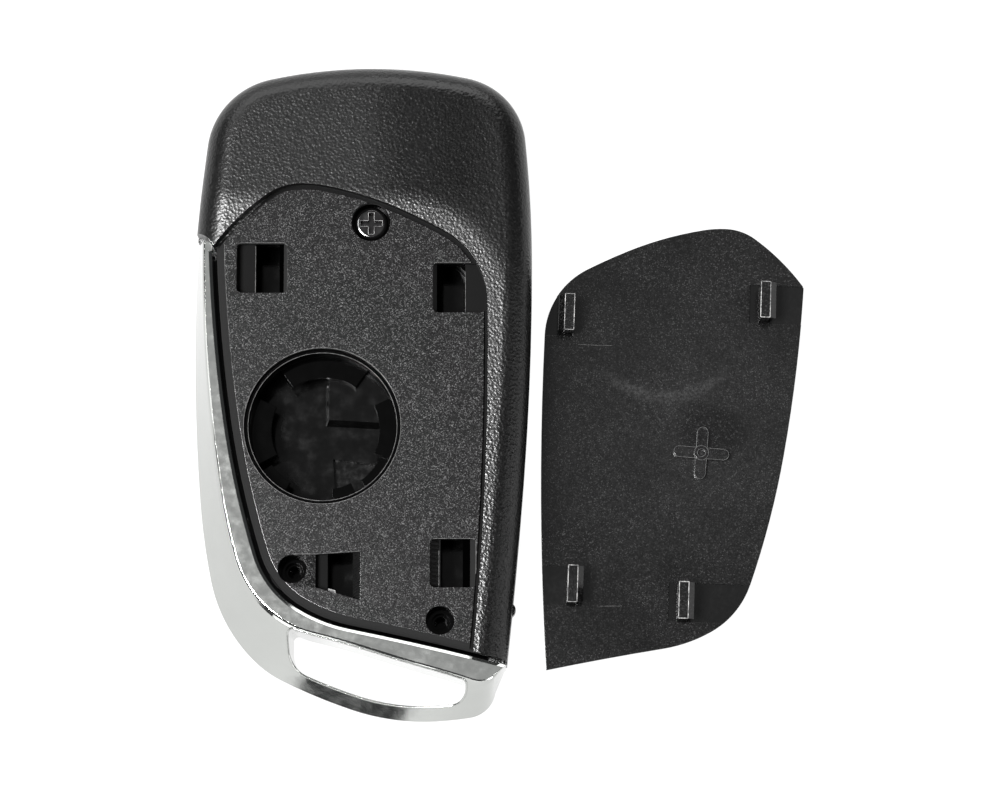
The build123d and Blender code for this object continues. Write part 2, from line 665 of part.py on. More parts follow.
def battery_cover():
    """The battery cover, laid beside the shell with its inner face up."""
    body = cover_plate()
    hooks = [(SLOT_TOP_LEFT, True, -1, POCKET_BEHIND), (SLOT_TOP_RIGHT, False, 1, 0),
             (SLOT_LOW_RIGHT, True, 1, 0), (SLOT_LOW_LEFT, True, -1, POCKET_BEHIND)]
    for slot, catch_left, side, behind in hooks:
        body -= hook_pocket(slot, catch_left, side, behind)
        body += hook(slot, catch_left)
    body += cover_rib()
    centred = Rot(0, 0, COVER_TURN) * Pos(-COVER_SHIFT[0], -COVER_SHIFT[1], -SEAT_Z - COVER_THICK)
    return Rot(0, 180, 0) * centred * body


def case_screw():
    """The cross-head screw in the top hole."""
    x, y = SCREW_TOP
    seat = SEAT_Z - SCREW_DEPTH_TOP
    top = seat + HEAD_HEIGHT
    head = rod(x, y, HEAD_DIAMETER / 2, seat, top)
    head = fillet(head.edges().sort_by(Axis.Z)[-1], HEAD_HEIGHT / 3)
    for wide, long in ((CROSS_SPAN, CROSS_WIDTH), (CROSS_WIDTH, CROSS_SPAN)):
        head -= block(x - wide / 2, x + wide / 2, y - long / 2, y + long / 2, top - CROSS_DEPTH, top + 1)
    return head + rod(x, y, SCREW_PILOT / 2, seat - SHANK_LENGTH, seat)


def board_tray():
    """The inner plate with the raised block and the pit seen through the battery opening."""
    low = FRAME_TOP_Z + PAD_THICK
    body = slab(room_ground(TRAY_PLAY), low, low + TRAY_THICK)
    for (x, y), width, depth in screw_holes():
        body -= rod(x, y, SCREW_PILOT / 2 + BOSS_WALL + TRAY_PLAY, low - 1, low + 2)
    foot = make_face(Polyline(BLOCK_CORNERS + BLOCK_CORNERS[:1]))
    body += extrude(Pos(0, 0, low + TRAY_THICK) * foot, BLOCK_TOP_Z - low - TRAY_THICK, taper=BLOCK_DRAFT)
    pit = make_face(Polyline(PIT_CORNERS + PIT_CORNERS[:1]))
    return body - slab(pit, low - 1, low + TRAY_THICK + 1)


def blade_hub():
    """The round carrier with the arm that holds the blade."""
    body = rod(HUB_X, HUB_Y, HUB_RADIUS, HUB_LOW_Z, HUB_TOP_Z)
    arm_outer = BLADE_OFFSET + BLADE_WIDTH / 2
    arm = area(HUB_X + ARM_INSIDE, HUB_X + arm_outer, HUB_Y - ARM_LENGTH, HUB_Y)
    body += slab(arm, ARM_LOW_Z, ARM_TOP_Z)
    body -= rod(HUB_X, HUB_Y, HUB_BORE, HUB_LOW_Z - 1, HUB_TOP_Z - HUB_ROOF)
    half = LOBE_WIDTH / 2 + BUTTON_PLAY
    lobe_top = HUB_LOW_Z + CORE_THICK + RELEASE_TRAVEL + BUTTON_PLAY
    lobes = area(HUB_X - half, HUB_X + half, HUB_Y - HUB_RADIUS - 1, HUB_Y + HUB_RADIUS + 1)
    body -= slab(lobes, HUB_LOW_Z - 1, lobe_top)
    body -= tang()
    x, y = pin_place()
    return body - rod(x, y, PIN_RADIUS, ARM_LOW_Z - 1, ARM_TOP_Z + 1)


def blade_heights():
    middle = (ARM_LOW_Z + ARM_TOP_Z) / 2
    return middle - BLADE_THICK / 2, middle + BLADE_THICK / 2


def tang():
    """The end of the blade that sits in the arm."""
    x = HUB_X + BLADE_OFFSET
    y = HUB_Y - ARM_LENGTH
    low, top = blade_heights()
    return block(x - TANG_WIDTH / 2, x + TANG_WIDTH / 2, y, y + TANG_LENGTH, low, top)


def pin_place():
    return HUB_X + BLADE_OFFSET, HUB_Y - ARM_LENGTH + TANG_LENGTH / 2


def key_blade():
    """The uncut blade, folded along the right side."""
    x = HUB_X + BLADE_OFFSET
    y = HUB_Y - ARM_LENGTH
    low, top = blade_heights()
    half = BLADE_WIDTH / 2
    tip = y - BLADE_LENGTH
    outline = make_face(Polyline((x - half, y), (x + half, y), (x + half, tip + half), (x + half / 3, tip),
                                 (x - half / 3, tip), (x - half, tip + half), (x - half, y)))
    body = slab(outline, low, top)
    for z0, z1 in ((low - 1, low + GROOVE_DEPTH), (top - GROOVE_DEPTH, top + 1)):
        body -= block(x - GROOVE_WIDTH / 2, x + GROOVE_WIDTH / 2, tip - 1, y - GROOVE_WIDTH, z0, z1)
    body += tang()
    px, py = pin_place()
    return body - rod(px, py, PIN_RADIUS, low - 1, top + 1)


def blade_pin():
    x, y = pin_place()
    return rod(x, y, PIN_RADIUS, ARM_LOW_Z, ARM_TOP_Z)


def release_button():
    """The plated cap on the front with its stem."""
    body = rod(HUB_X, HUB_Y, BUTTON_RADIUS, FACE_RECESS, core_low())
    body = fillet(body.edges().sort_by(Axis.Z)[0], FACE_ROUND)
    sphere = BUTTON_RADIUS ** 2 / (2 * DISH_DEPTH)
    body -= Pos(HUB_X, HUB_Y, FACE_RECESS + DISH_DEPTH - sphere) * Sphere(sphere)
    return body + rod(HUB_X, HUB_Y, STEM_RADIUS, FACE_RECESS + 1, STEM_TOP_Z)


def core_low():
    """The lower face of the lock core, just off the floor of the hub's socket."""
    return (SOCKET_FLOOR_Z + HUB_LOW_Z) / 2


def lock_core():
    """The ring behind the cap with the two lobes that lock the hub."""
    low = core_low()
    body = rod(HUB_X, HUB_Y, CORE_RADIUS, low, low + CORE_THICK)
    half = LOBE_WIDTH / 2
    lobes = slab(area(HUB_X - half, HUB_X + half, -FAR, FAR), low, low + CORE_THICK)
    body += lobes & rod(HUB_X, HUB_Y, LOBE_REACH, low, low + CORE_THICK)
    return body - rod(HUB_X, HUB_Y, STEM_RADIUS, low - 1, low + CORE_THICK + 1)


def flip_spring():
    """The coil spring between the lock core and the hub's roof."""
    low = core_low() + CORE_THICK + SPRING_WIRE
    high = HUB_TOP_Z - HUB_ROOF - SPRING_WIRE
    path = Helix((high - low) / SPRING_TURNS, high - low, SPRING_RADIUS)
    section = Plane(origin=path @ 0, z_dir=path % 0) * Circle(SPRING_WIRE)
    return Pos(HUB_X, HUB_Y, low) * sweep(section, path=path)


def key(place):
    """One key: its face through the front and the flange behind it."""
    body = slab(key_shape(place), FACE_RECESS, FRONT_FLOOR + KEY_FLANGE_THICK)
    body = fillet(body.faces().sort_by(Axis.Z)[0].edges(), FACE_ROUND)
    return body + slab(key_shape(place, KEY_FLANGE), FRONT_FLOOR, FRONT_FLOOR + KEY_FLANGE_THICK)


def button_pad():
    """The soft pad on the frame, with a stud over each key."""
    body = slab(frame_ground(), FRAME_TOP_Z, FRAME_TOP_Z + PAD_THICK)
    for x, y in key_places():
        stud_low = FRONT_FLOOR + KEY_FLANGE_THICK + KEY_TRAVEL
        body += rod(x, y, DOME_RADIUS, stud_low, FRAME_TOP_Z)
    return body


def build():
    """Every node of the part by name."""
    lock_key, unlock_key, boot_key = [key(place) for place in key_places()]
    return {
        "back_casing": back_casing(),
        "front_casing": front_casing(),
        "chrome_trim": chrome_trim(),
        "battery_cover": battery_cover(),
        "case_screw": case_screw(),
        "board_tray": board_tray(),
        "blade_hub": blade_hub(),
        "key_blade": key_blade(),
        "blade_pin": blade_pin(),
        "release_button": release_button(),
        "lock_core": lock_core(),
        "flip_spring": flip_spring(),
        "lock_button": lock_key,
        "unlock_button": unlock_key,
        "boot_button": boot_key,
        "button_pad": button_pad(),
    }


if __name__ == "__main__":
    os.makedirs("parts", exist_ok=True)
    for node, shape in build().items():
        export_step(shape, "parts/" + node + ".step")
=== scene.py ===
import math
import bmesh
import bpy
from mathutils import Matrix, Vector


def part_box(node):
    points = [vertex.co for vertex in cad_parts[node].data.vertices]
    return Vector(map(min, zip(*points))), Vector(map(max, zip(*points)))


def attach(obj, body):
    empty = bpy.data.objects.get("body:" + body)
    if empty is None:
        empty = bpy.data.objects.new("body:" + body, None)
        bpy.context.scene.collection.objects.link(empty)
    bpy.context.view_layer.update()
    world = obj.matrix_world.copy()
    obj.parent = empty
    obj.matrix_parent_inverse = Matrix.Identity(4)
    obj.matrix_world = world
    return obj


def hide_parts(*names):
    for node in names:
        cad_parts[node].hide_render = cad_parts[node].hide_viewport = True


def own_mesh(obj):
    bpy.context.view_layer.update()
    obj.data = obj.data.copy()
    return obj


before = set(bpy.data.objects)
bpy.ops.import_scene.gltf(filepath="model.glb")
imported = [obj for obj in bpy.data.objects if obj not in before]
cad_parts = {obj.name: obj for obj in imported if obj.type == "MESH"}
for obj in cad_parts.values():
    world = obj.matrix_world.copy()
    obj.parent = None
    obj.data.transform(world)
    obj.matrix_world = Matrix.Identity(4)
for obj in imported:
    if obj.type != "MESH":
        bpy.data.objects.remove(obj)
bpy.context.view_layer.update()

MM = 0.001

# Heights and radii taken over from the imported model, in millimetres
SEAT_Z = 13.3
CELL_STEP_Z = 12.3
LEDGE_Z = 11.7
COVER_FACE_Z = 1.5
CELL_STEP_RADIUS = 10.65
CELL_RADIUS = 10.1

# Limits in millimetres that lie just below the split of the halves, just outside the battery opening's
# wall, and just outside the seat's edge: its right side, its upper end, and y less x at its corner
BELOW_SPLIT_Z = 7.3
OPENING_REACH = 11.5
SEAT_RIGHT = 22.4
SEAT_END = 33.5
SEAT_CORNER = 39.2

# Nearly all values of Blender's noise lie between these two
NOISE_LOW = 0.3
NOISE_HIGH = 0.7

# Vertices closer than this are one, in metres
MERGE_REACH = 1e-6


def grey(level, warm=0.0):
    """A grey with a linear level, turned towards red by warm."""
    return (level * (1 + warm), level, level * (1 - warm), 1)


class Look:
    """A material made of nodes, with short calls for the nodes that the looks share."""

    def __init__(self, name, roughness=0.5, metallic=0.0, gloss=0.5):
        self.material = bpy.data.materials.new(name)
        self.material.use_nodes = True
        self.tree = self.material.node_tree
        self.shader = self.tree.nodes["Principled BSDF"]
        self.shader.inputs["Roughness"].default_value = roughness
        self.shader.inputs["Metallic"].default_value = metallic
        self.shader.inputs["Specular IOR Level"].default_value = gloss
        self.place = self.node("ShaderNodeTexCoord").outputs["Object"]

    def node(self, kind, **settings):
        made = self.tree.nodes.new(kind)
        for key, value in settings.items():
            setattr(made, key, value)
        return made

    def put(self, socket, value):
        """Link a socket to another, or set it to a number or colour; None leaves it as it is."""
        if isinstance(value, bpy.types.NodeSocket):
            self.tree.links.new(value, socket)
        elif value is not None:
            socket.default_value = value

    def math(self, operation, first, second=None, clamp=False):
        made = self.node("ShaderNodeMath", operation=operation, use_clamp=clamp)
        self.put(made.inputs[0], first)
        self.put(made.inputs[1], second)
        return made.outputs[0]

    def product(self, first, *others):
        """Values multiplied; for masks, one where all of them are one."""
        for other in others:
            first = self.math("MULTIPLY", first, other)
        return first

    def rest_of(self, mask):
        """One where a mask is nought, and the other way round."""
        return self.math("SUBTRACT", 1.0, mask)

    def above(self, value, limit):
        """One where a length in metres is more than a limit in millimetres."""
        return self.math("GREATER_THAN", value, limit * MM)

    def below(self, value, limit):
        """One where a length in metres is less than a limit in millimetres."""
        return self.math("LESS_THAN", value, limit * MM)

    def between(self, value, low, high, first, last):
        """A number that goes from first to last while a value goes from low to high."""
        made = self.node("ShaderNodeMapRange")
        for socket, number in zip(made.inputs[1:5], (low, high, first, last)):
            socket.default_value = number
        self.put(made.inputs["Value"], value)
        return made.outputs["Result"]

    def fade(self, length, low, high, first, last):
        """The same for a length in metres, with low and high in millimetres."""
        return self.between(length, low * MM, high * MM, first, last)

    def noise(self, pitch, detail=2.0, roughness=0.5, stretch=None):
        """Noise whose blotches are about a pitch in millimetres across."""
        made = self.node("ShaderNodeTexNoise")
        made.inputs["Scale"].default_value = 1.0 / (pitch * MM)
        made.inputs["Detail"].default_value = detail
        made.inputs["Roughness"].default_value = roughness
        self.put(made.inputs["Vector"], self.stretched(stretch) if stretch else self.place)
        return made.outputs["Fac"]

    def vary(self, pitch, first, last):
        """A number that drifts between two others, in blotches of a pitch in millimetres."""
        return self.between(self.noise(pitch), NOISE_LOW, NOISE_HIGH, first, last)

    def cells(self, pitch):
        """Rounded cells of a pitch in millimetres, for moulded orange peel."""
        made = self.node("ShaderNodeTexVoronoi", feature="SMOOTH_F1")
        made.inputs["Scale"].default_value = 1.0 / (pitch * MM)
        made.inputs["Smoothness"].default_value = 0.6
        self.put(made.inputs["Vector"], self.place)
        return made.outputs["Distance"]

    def grains(self, pitch):
        """A chance value for each grain of a pitch in millimetres."""
        made = self.node("ShaderNodeTexVoronoi", feature="F1")
        made.inputs["Scale"].default_value = 1.0 / (pitch * MM)
        self.put(made.inputs["Vector"], self.place)
        split = self.node("ShaderNodeSeparateColor")
        self.put(split.inputs[0], made.outputs["Color"])
        return split.outputs[0]

    def stretched(self, scale):
        """The place with each axis scaled, so that a noise is drawn out where the scale is small."""
        made = self.node("ShaderNodeMapping")
        made.inputs["Scale"].default_value = scale
        self.put(made.inputs["Vector"], self.place)
        return made.outputs["Vector"]

    def ramp(self, value, stops):
        """A value turned into colours, each stop a position and its colour."""
        made = self.node("ShaderNodeValToRGB")
        marks = made.color_ramp.elements
        while len(marks) < len(stops):
            marks.new(0.5)
        for mark, (at, colour) in zip(marks, stops):
            mark.position = at
            mark.color = colour
        self.put(made.inputs["Fac"], value)
        return made.outputs["Color"]

    def greys(self, value, stops):
        """A value turned into greys, each stop a position, its level and, if it has any, its warmth."""
        return self.ramp(value, [(at, grey(*tone)) for at, *tone in stops])

    def axis(self, name, normal=False):
        """One coordinate of the point, or of the surface's normal."""
        source = self.node("ShaderNodeNewGeometry").outputs["Normal"] if normal else self.place
        made = self.node("ShaderNodeSeparateXYZ")
        self.put(made.inputs[0], source)
        return made.outputs[name]

    def distance(self, x, y):
        """How far a point is, seen from above, from a place in millimetres."""
        across = self.math("SUBTRACT", self.axis("X"), x * MM)
        along = self.math("SUBTRACT", self.axis("Y"), y * MM)
        squares = self.math("ADD", self.product(across, across), self.product(along, along))
        return self.math("SQRT", squares)

    def mix(self, share, first, second):
        """The first colour or value where share is nought, the second where it is one."""
        made = self.node("ShaderNodeMix", data_type="RGBA")
        self.put(made.inputs["Factor"], share)
        self.put(made.inputs["A"], first)
        self.put(made.inputs["B"], second)
        return made.outputs["Result"]

    def times(self, first, second):
        """Two colours multiplied."""
        made = self.node("ShaderNodeMix", data_type="RGBA", blend_type="MULTIPLY")
        made.inputs["Factor"].default_value = 1.0
        self.put(made.inputs["A"], first)
        self.put(made.inputs["B"], second)
        return made.outputs["Result"]

    def colour(self, value):
        self.put(self.shader.inputs["Base Color"], value)

    def rough(self, value):
        self.put(self.shader.inputs["Roughness"], value)

    def softened(self, radius):
        """Normals that turn over the sharp edges within a radius in millimetres."""
        made = self.node("ShaderNodeBevel", samples=4)
        made.inputs["Radius"].default_value = radius * MM
        return made.outputs["Normal"]

    def bump(self, height, depth, strength=1.0, below=None):
        """Relief with a depth in millimetres, on top of the normals below."""
        made = self.node("ShaderNodeBump")
        made.inputs["Strength"].default_value = strength
        made.inputs["Distance"].default_value = depth * MM
        self.put(made.inputs["Height"], height)
        self.put(made.inputs["Normal"], below)
        return made.outputs["Normal"]

    def finish(self, normal=None):
        self.put(self.shader.inputs["Normal"], normal)
        return self.material


# The black plastic of casing and cover: its gloss, then in millimetres the depth of its relief and the
# pitch of the peel's cells and of the blotches in its gloss, and how much finer waves add to the cells
BLACK_GLOSS = 0.35
RELIEF_DEPTH = 0.043
PEEL_PITCH = 0.4
BLOTCH_PITCH = 0.5
PEEL_WAVES = 0.8

# Zones of the casing: how far up a level face's normal points at least, and then, in millimetres, how
# far above the seat the zones end, how far below it the seat's facets end and its dull walls end, and
# how far below the slots' ledges a face still counts as one
LEVEL_SHARE = 0.98
SEAT_MARGIN = 0.04
SEAT_DROP = 0.38
WALL_DROP = 1.15
LEDGE_MARGIN = 0.1

# Pitch of the seat's grains in millimetres, and the linear greys of the casing; the ones that have a
# position stand there among the grains or in the noise
SEAT_GRAIN = 0.11
# The seat's greys: its brightest grains are painted glints
GRAIN_AND_GLINT_GREYS = [(0.0, 0.0003), (0.5, 0.001), (0.8, 0.008), (1.0, 0.04)]
GRAIN_CLOUDS = [(0.3, 0.6), (0.7, 1.4)]
PEEL_GREYS = [(0.32, 0.0004), (0.55, 0.001, 0.01), (0.72, 0.003, 0.02)]
HOLE_GREY = 0.001
WALL_GREY = 0.007
LEDGE_GREY = 0.0012

# The least and the most roughness of each zone, the pitch of the holes' blotches in millimetres, and
# how high the seat's grain stands beside the peel
PEEL_ROUGHNESS = (0.28, 0.33)
SEAT_ROUGHNESS = (0.12, 0.17)
HOLE_ROUGHNESS = (0.07, 0.11)
WALL_ROUGHNESS = 1.0
HOLE_PITCH = 1.5
SEAT_RELIEF = 0.16

# Painted shade: black metal sends back less of the key light than black plastic does, so the holes are
# mostly metal to darken them, and the dull walls and ledges in them less so
HOLE_SHADE_METAL = 0.8
DULL_SHADE_METAL_LOSS = 0.2

# Where the peel is rubbed smoother: about this x at the upper end, and towards the key ring. Each row
# has two lengths in millimetres, and the numbers between which a value goes from one to the other
RUBBED_X = 15
RUBBED_SIDES = (4, 10, 0.075, 0.0)
RUBBED_UPPER = (27, 33, 0.0, 1.0)
RUBBED_LOWER = (-5, 15, 0.05, 0.0)


def seat_area(look):
    """One within the seat's edge seen from above, nought on the casing's outer walls."""
    right = look.below(look.axis("X"), SEAT_RIGHT)
    end = look.below(look.axis("Y"), SEAT_END)
    corner = look.below(look.math("SUBTRACT", look.axis("Y"), look.axis("X")), SEAT_CORNER)
    return look.product(right, end, corner)


def casing_zones(look):
    """Masks of the seat, of the inside of the holes, and of the dull walls and the ledges in them."""
    height = look.axis("Z")
    level = look.math("GREATER_THAN", look.axis("Z", normal=True), LEVEL_SHARE)
    steep = look.rest_of(level)
    under = look.product(seat_area(look), look.below(height, SEAT_Z + SEAT_MARGIN))
    deep = look.below(height, SEAT_Z - SEAT_DROP)
    hollow = look.product(look.math("MAXIMUM", deep, steep), look.above(height, BELOW_SPLIT_Z))
    bottom = look.product(level, look.below(height, BELOW_SPLIT_Z))
    inner = look.product(under, look.math("MAXIMUM", hollow, bottom))
    seat = look.product(under, level, look.rest_of(deep))
    wall = look.product(steep, look.above(height, SEAT_Z - WALL_DROP))
    beside = look.above(look.distance(0, 0), OPENING_REACH)
    ledge = look.product(level, look.above(height, LEDGE_Z - LEDGE_MARGIN), beside)
    return seat, inner, wall, ledge


def casing_colour(look, seat, inner, wall, ledge):
    """Seat speckle with painted glints in its brightest grains, faint blotches outside and even black in the
    holes.
    """
    # The seat's speckle, with painted glints in its brightest grains
    dots_and_glints = look.greys(look.grains(SEAT_GRAIN), GRAIN_AND_GLINT_GREYS)
    clouds = look.greys(look.noise(pitch=0.8, detail=3, roughness=0.6), GRAIN_CLOUDS)
    outside = look.greys(look.noise(pitch=0.36, detail=3, roughness=0.65), PEEL_GREYS)
    walls = look.mix(wall, grey(HOLE_GREY), grey(WALL_GREY))
    depths = look.mix(ledge, walls, grey(LEDGE_GREY))
    return look.mix(inner, look.mix(seat, outside, look.times(dots_and_glints, clouds)), depths)


def casing_roughness(look, seat, inner, dull, fine):
    """Peel with smoother parts outside, fine grain on the seat and gloss in the holes."""
    aside = look.math("ABSOLUTE", look.math("SUBTRACT", look.axis("X"), RUBBED_X * MM))
    rubbed = look.product(look.fade(aside, *RUBBED_SIDES), look.fade(look.axis("Y"), *RUBBED_UPPER))
    rubbed = look.math("ADD", rubbed, look.fade(look.axis("Y"), *RUBBED_LOWER))
    peel = look.math("SUBTRACT", look.vary(BLOTCH_PITCH, *PEEL_ROUGHNESS), rubbed)
    grained = look.mix(seat, peel, look.between(fine, NOISE_LOW, NOISE_HIGH, *SEAT_ROUGHNESS))
    hidden = look.mix(dull, look.vary(HOLE_PITCH, *HOLE_ROUGHNESS), grey(WALL_ROUGHNESS))
    return look.mix(inner, grained, hidden)


def casing_look():
    """Black moulded plastic: orange peel outside, finer speckled grain on the seat, smooth in the holes."""
    look = Look("casing_black", gloss=BLACK_GLOSS)
    seat, inner, wall, ledge = casing_zones(look)
    dull = look.math("MAXIMUM", wall, ledge)
    fine = look.noise(pitch=0.24, detail=3, roughness=0.75)
    look.colour(casing_colour(look, seat, inner, wall, ledge))
    look.rough(casing_roughness(look, seat, inner, dull, fine))
    # Painted shade in the holes, through a near-black metal
    loss = look.product(dull, DULL_SHADE_METAL_LOSS)
    metal = look.math("SUBTRACT", look.product(inner, HOLE_SHADE_METAL), loss, clamp=True)
    look.put(look.shader.inputs["Metallic"], metal)
    waves = look.noise(pitch=0.3, detail=3, roughness=0.6)
    peel = look.math("ADD", look.cells(PEEL_PITCH), look.product(waves, PEEL_WAVES))
    relief = look.mix(seat, peel, look.product(fine, SEAT_RELIEF))
    outer_relief = look.product(relief, look.rest_of(inner))
    return look.finish(look.bump(outer_relief, RELIEF_DEPTH, below=look.softened(0.09)))


# A painted highlight along a pale arc on the cover's inner face: its middle and radius in millimetres,
# the rows by which it fades out across and along y, and how the noise breaks it up
ARC_MIDDLE = (47.0, 16.5)
ARC_RADIUS = 10.9
ARC_ACROSS = (0.2, 1.3, 1.0, 0.0)
ARC_ALONG = (-9.6, -6.5, 1.0, 0.0)
ARC_BREAKS = (0.4, 0.65, 0.1, 1.0)
# The painted highlight's grey, and how much rougher the arc is
ARC_HIGHLIGHT_GREY = 0.006
ARC_DULLER = 0.09

# The rest of the inner face: pitch of its grains in millimetres, greys as for the casing, the pitch of
# the blotches in its gloss, the least and the most roughness in them, a row by which it gets smoother
# away from the middle, and how high its grain stands beside the peel
COVER_GRAIN = 0.12
COVER_GREYS = [(0.0, 0.0005), (0.6, 0.0015), (0.9, 0.005), (1.0, 0.014)]
COVER_PATCHES = [(0.35, 0.7), (0.65, 1.3)]
COVER_PITCH = 0.6
COVER_ROUGHNESS = (0.14, 0.19)
COVER_MIDDLE = (58.0, 3.0)
COVER_FADE = (8, 30, 0.016, -0.05)
COVER_RELIEF = 0.14

# The corners beside the cover's rib and hooks are smoother: x, y and reach in millimetres, the share of
# the roughness left in the middle of a spot, and the shares of its reach at which it starts to fade and
# has faded
SMOOTH_SPOTS = [
    (54.5, 0.6, 2.6), (51.8, 1.4, 2.4),
    (30.9, 16.8, 2.2), (59.6, 19.0, 2.0),
    (32.9, -15.6, 3.0), (49.6, -19.6, 3.0),
]
SPOT_ROUGHNESS = 0.35
SPOT_START = 0.3
SPOT_END = 1.6

# Faces this far below the inner face, in millimetres, are pockets; a normal that points down further
# than this is on the outer face
POCKET_DROP = 0.2
POCKET_GREY = 0.0012
FACES_DOWN = -0.5
OUTER_ROUGHNESS = (0.26, 0.31)


def painted_highlight_arc(look):
    """How pale each point is on the arc on the cover's inner face, where a highlight is painted."""
    along = look.math("SUBTRACT", look.axis("Y"), ARC_MIDDLE[1] * MM)
    off = look.math("ABSOLUTE", look.math("SUBTRACT", look.distance(*ARC_MIDDLE), ARC_RADIUS * MM))
    band = look.product(look.fade(off, *ARC_ACROSS), look.fade(along, *ARC_ALONG))
    breaks = look.noise(pitch=0.35, detail=3, roughness=0.7)
    return look.product(band, look.between(breaks, *ARC_BREAKS))


def cover_roughness(look, pale):
    """The inner face's roughness: duller on the arc, smoother away from the middle and in the spots."""
    rough = look.math("ADD", look.vary(COVER_PITCH, *COVER_ROUGHNESS), look.product(pale, ARC_DULLER))
    rough = look.math("ADD", rough, look.fade(look.distance(*COVER_MIDDLE), *COVER_FADE))
    for x, y, reach in SMOOTH_SPOTS:
        start, end = SPOT_START * reach, SPOT_END * reach
        rough = look.product(rough, look.fade(look.distance(x, y), start, end, SPOT_ROUGHNESS, 1.0))
    return rough


def cover_look():
    """The cover: fine speckled grain, a painted highlight on an arc on its inner face, the casing's peel
    outside.
    """
    look = Look("cover_inside", gloss=BLACK_GLOSS)
    pale = painted_highlight_arc(look)
    speck = look.greys(look.grains(COVER_GRAIN), COVER_GREYS)
    patches = look.greys(look.noise(pitch=9.0), COVER_PATCHES)
    # The painted highlight along the arc
    grained = look.mix(pale, look.times(speck, patches), grey(ARC_HIGHLIGHT_GREY))
    pocket = look.below(look.axis("Z"), COVER_FACE_Z - POCKET_DROP)
    look.colour(look.mix(pocket, grained, grey(POCKET_GREY)))
    outer = look.math("LESS_THAN", look.axis("Z", normal=True), FACES_DOWN)
    look.rough(look.mix(outer, cover_roughness(look, pale), look.vary(BLOTCH_PITCH, *OUTER_ROUGHNESS)))
    fine = look.noise(pitch=0.18, detail=3, roughness=0.7)
    relief = look.mix(outer, look.product(fine, COVER_RELIEF), look.cells(PEEL_PITCH))
    return look.finish(look.bump(relief, RELIEF_DEPTH, below=look.softened(0.12)))


# Radius in millimetres by which other looks round their edges, and how far a metal's roughness goes up
EDGE_ROUNDING = 0.1
METAL_SPAN = 0.06

# Shares of red, green and blue in the plating's darker and lighter blotches, and the part of the noise
# that shows as fingerprints
PLATING_TINTS = [(NOISE_LOW, (0.96, 0.98, 0.95)), (NOISE_HIGH, (0.99, 1.01, 0.98))]
PRINTS = (0.35, 0.75)

# Shares of the level in the darker lines of ground metal and in the blotches of plain plastic, the
# pitch of those blotches and of the ones in its gloss as multiples of the grain's, and how far its
# roughness goes down and up
STEEL_DARKER = 0.85
PLASTIC_DARKER = 0.8
PLASTIC_LIGHTER = 1.2
TONE_PITCH = 1.3
GLOSS_PITCH = 2
SMOOTHER = 0.05
ROUGHER = 0.07


def plating_look(name, level, roughness):
    """Bright plating with faint waves and fingerprints in its gloss."""
    look = Look(name, roughness=roughness, metallic=1.0)
    stops = [(at, (*(level * share for share in tint), 1)) for at, tint in PLATING_TINTS]
    look.colour(look.ramp(look.noise(pitch=4.0, detail=3, roughness=0.55), stops))
    prints = look.noise(pitch=1.2, detail=4, roughness=0.6)
    look.rough(look.between(prints, *PRINTS, roughness, roughness + METAL_SPAN))
    waves = look.noise(pitch=3.0)
    return look.finish(look.bump(waves, depth=0.002, strength=0.6, below=look.softened(EDGE_ROUNDING)))


def steel_look(name, level, roughness, along):
    """Ground metal, its lines drawn out where along is small."""
    look = Look(name, roughness=roughness, metallic=1.0)
    lines = look.noise(pitch=0.3, detail=3, roughness=0.6, stretch=along)
    look.colour(look.greys(lines, [(NOISE_LOW, level * STEEL_DARKER), (NOISE_HIGH, level)]))
    look.rough(look.between(lines, NOISE_LOW, NOISE_HIGH, roughness, roughness + METAL_SPAN))
    return look.finish(look.bump(lines, depth=0.003, strength=0.7))


def plastic_look(name, level, roughness, pitch, depth, gloss=0.5):
    """Plain moulded plastic of a linear grey, with grain of a pitch and depth in millimetres."""
    look = Look(name, roughness=roughness, gloss=gloss)
    tone = look.noise(pitch * TONE_PITCH, detail=3, roughness=0.6)
    stops = [(NOISE_LOW, level * PLASTIC_DARKER), (NOISE_HIGH, level * PLASTIC_LIGHTER)]
    look.colour(look.greys(tone, stops))
    look.rough(look.vary(pitch * GLOSS_PITCH, roughness - SMOOTHER, roughness + ROUGHER))
    grain = look.noise(pitch, detail=3, roughness=0.6)
    return look.finish(look.bump(grain, depth, strength=0.8, below=look.softened(EDGE_ROUNDING)))


def wear_and_highlight_look(name, low, high):
    """Pale lines between two linear greys, paler in some places than in others: plastic rubbed pale, and
    painted highlights.
    """
    look = Look(name, roughness=0.6)
    patches = look.noise(pitch=0.7, detail=4, roughness=0.7)
    look.colour(look.greys(patches, [(0.42, low), (0.6, high, 0.02)]))
    return look.finish(look.bump(look.noise(pitch=0.15), depth=0.02))


def dress(node, look):
    """Give a CAD node one look all over."""
    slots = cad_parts[node].data.materials
    for index in range(len(slots)):
        slots[index] = look
    if not len(slots):
        slots.append(look)


CASING = casing_look()
TRIM = plating_look("trim_plating", 0.49, 0.07)
STEEL = steel_look("blade_steel", 0.45, 0.07, (1, 0.06, 1))
ZINC = steel_look("hub_zinc", 0.25, 0.12, (1, 1, 1))
KEY_BLACK = plastic_look("key_black", 0.008, 0.6, 0.25, 0.02)
# Pale lines: wear on the hooks, and on the screw's cross wear and painted highlights
WORN_AND_HIGHLIT = wear_and_highlight_look("worn_and_highlit_edge", 0.02, 0.17)
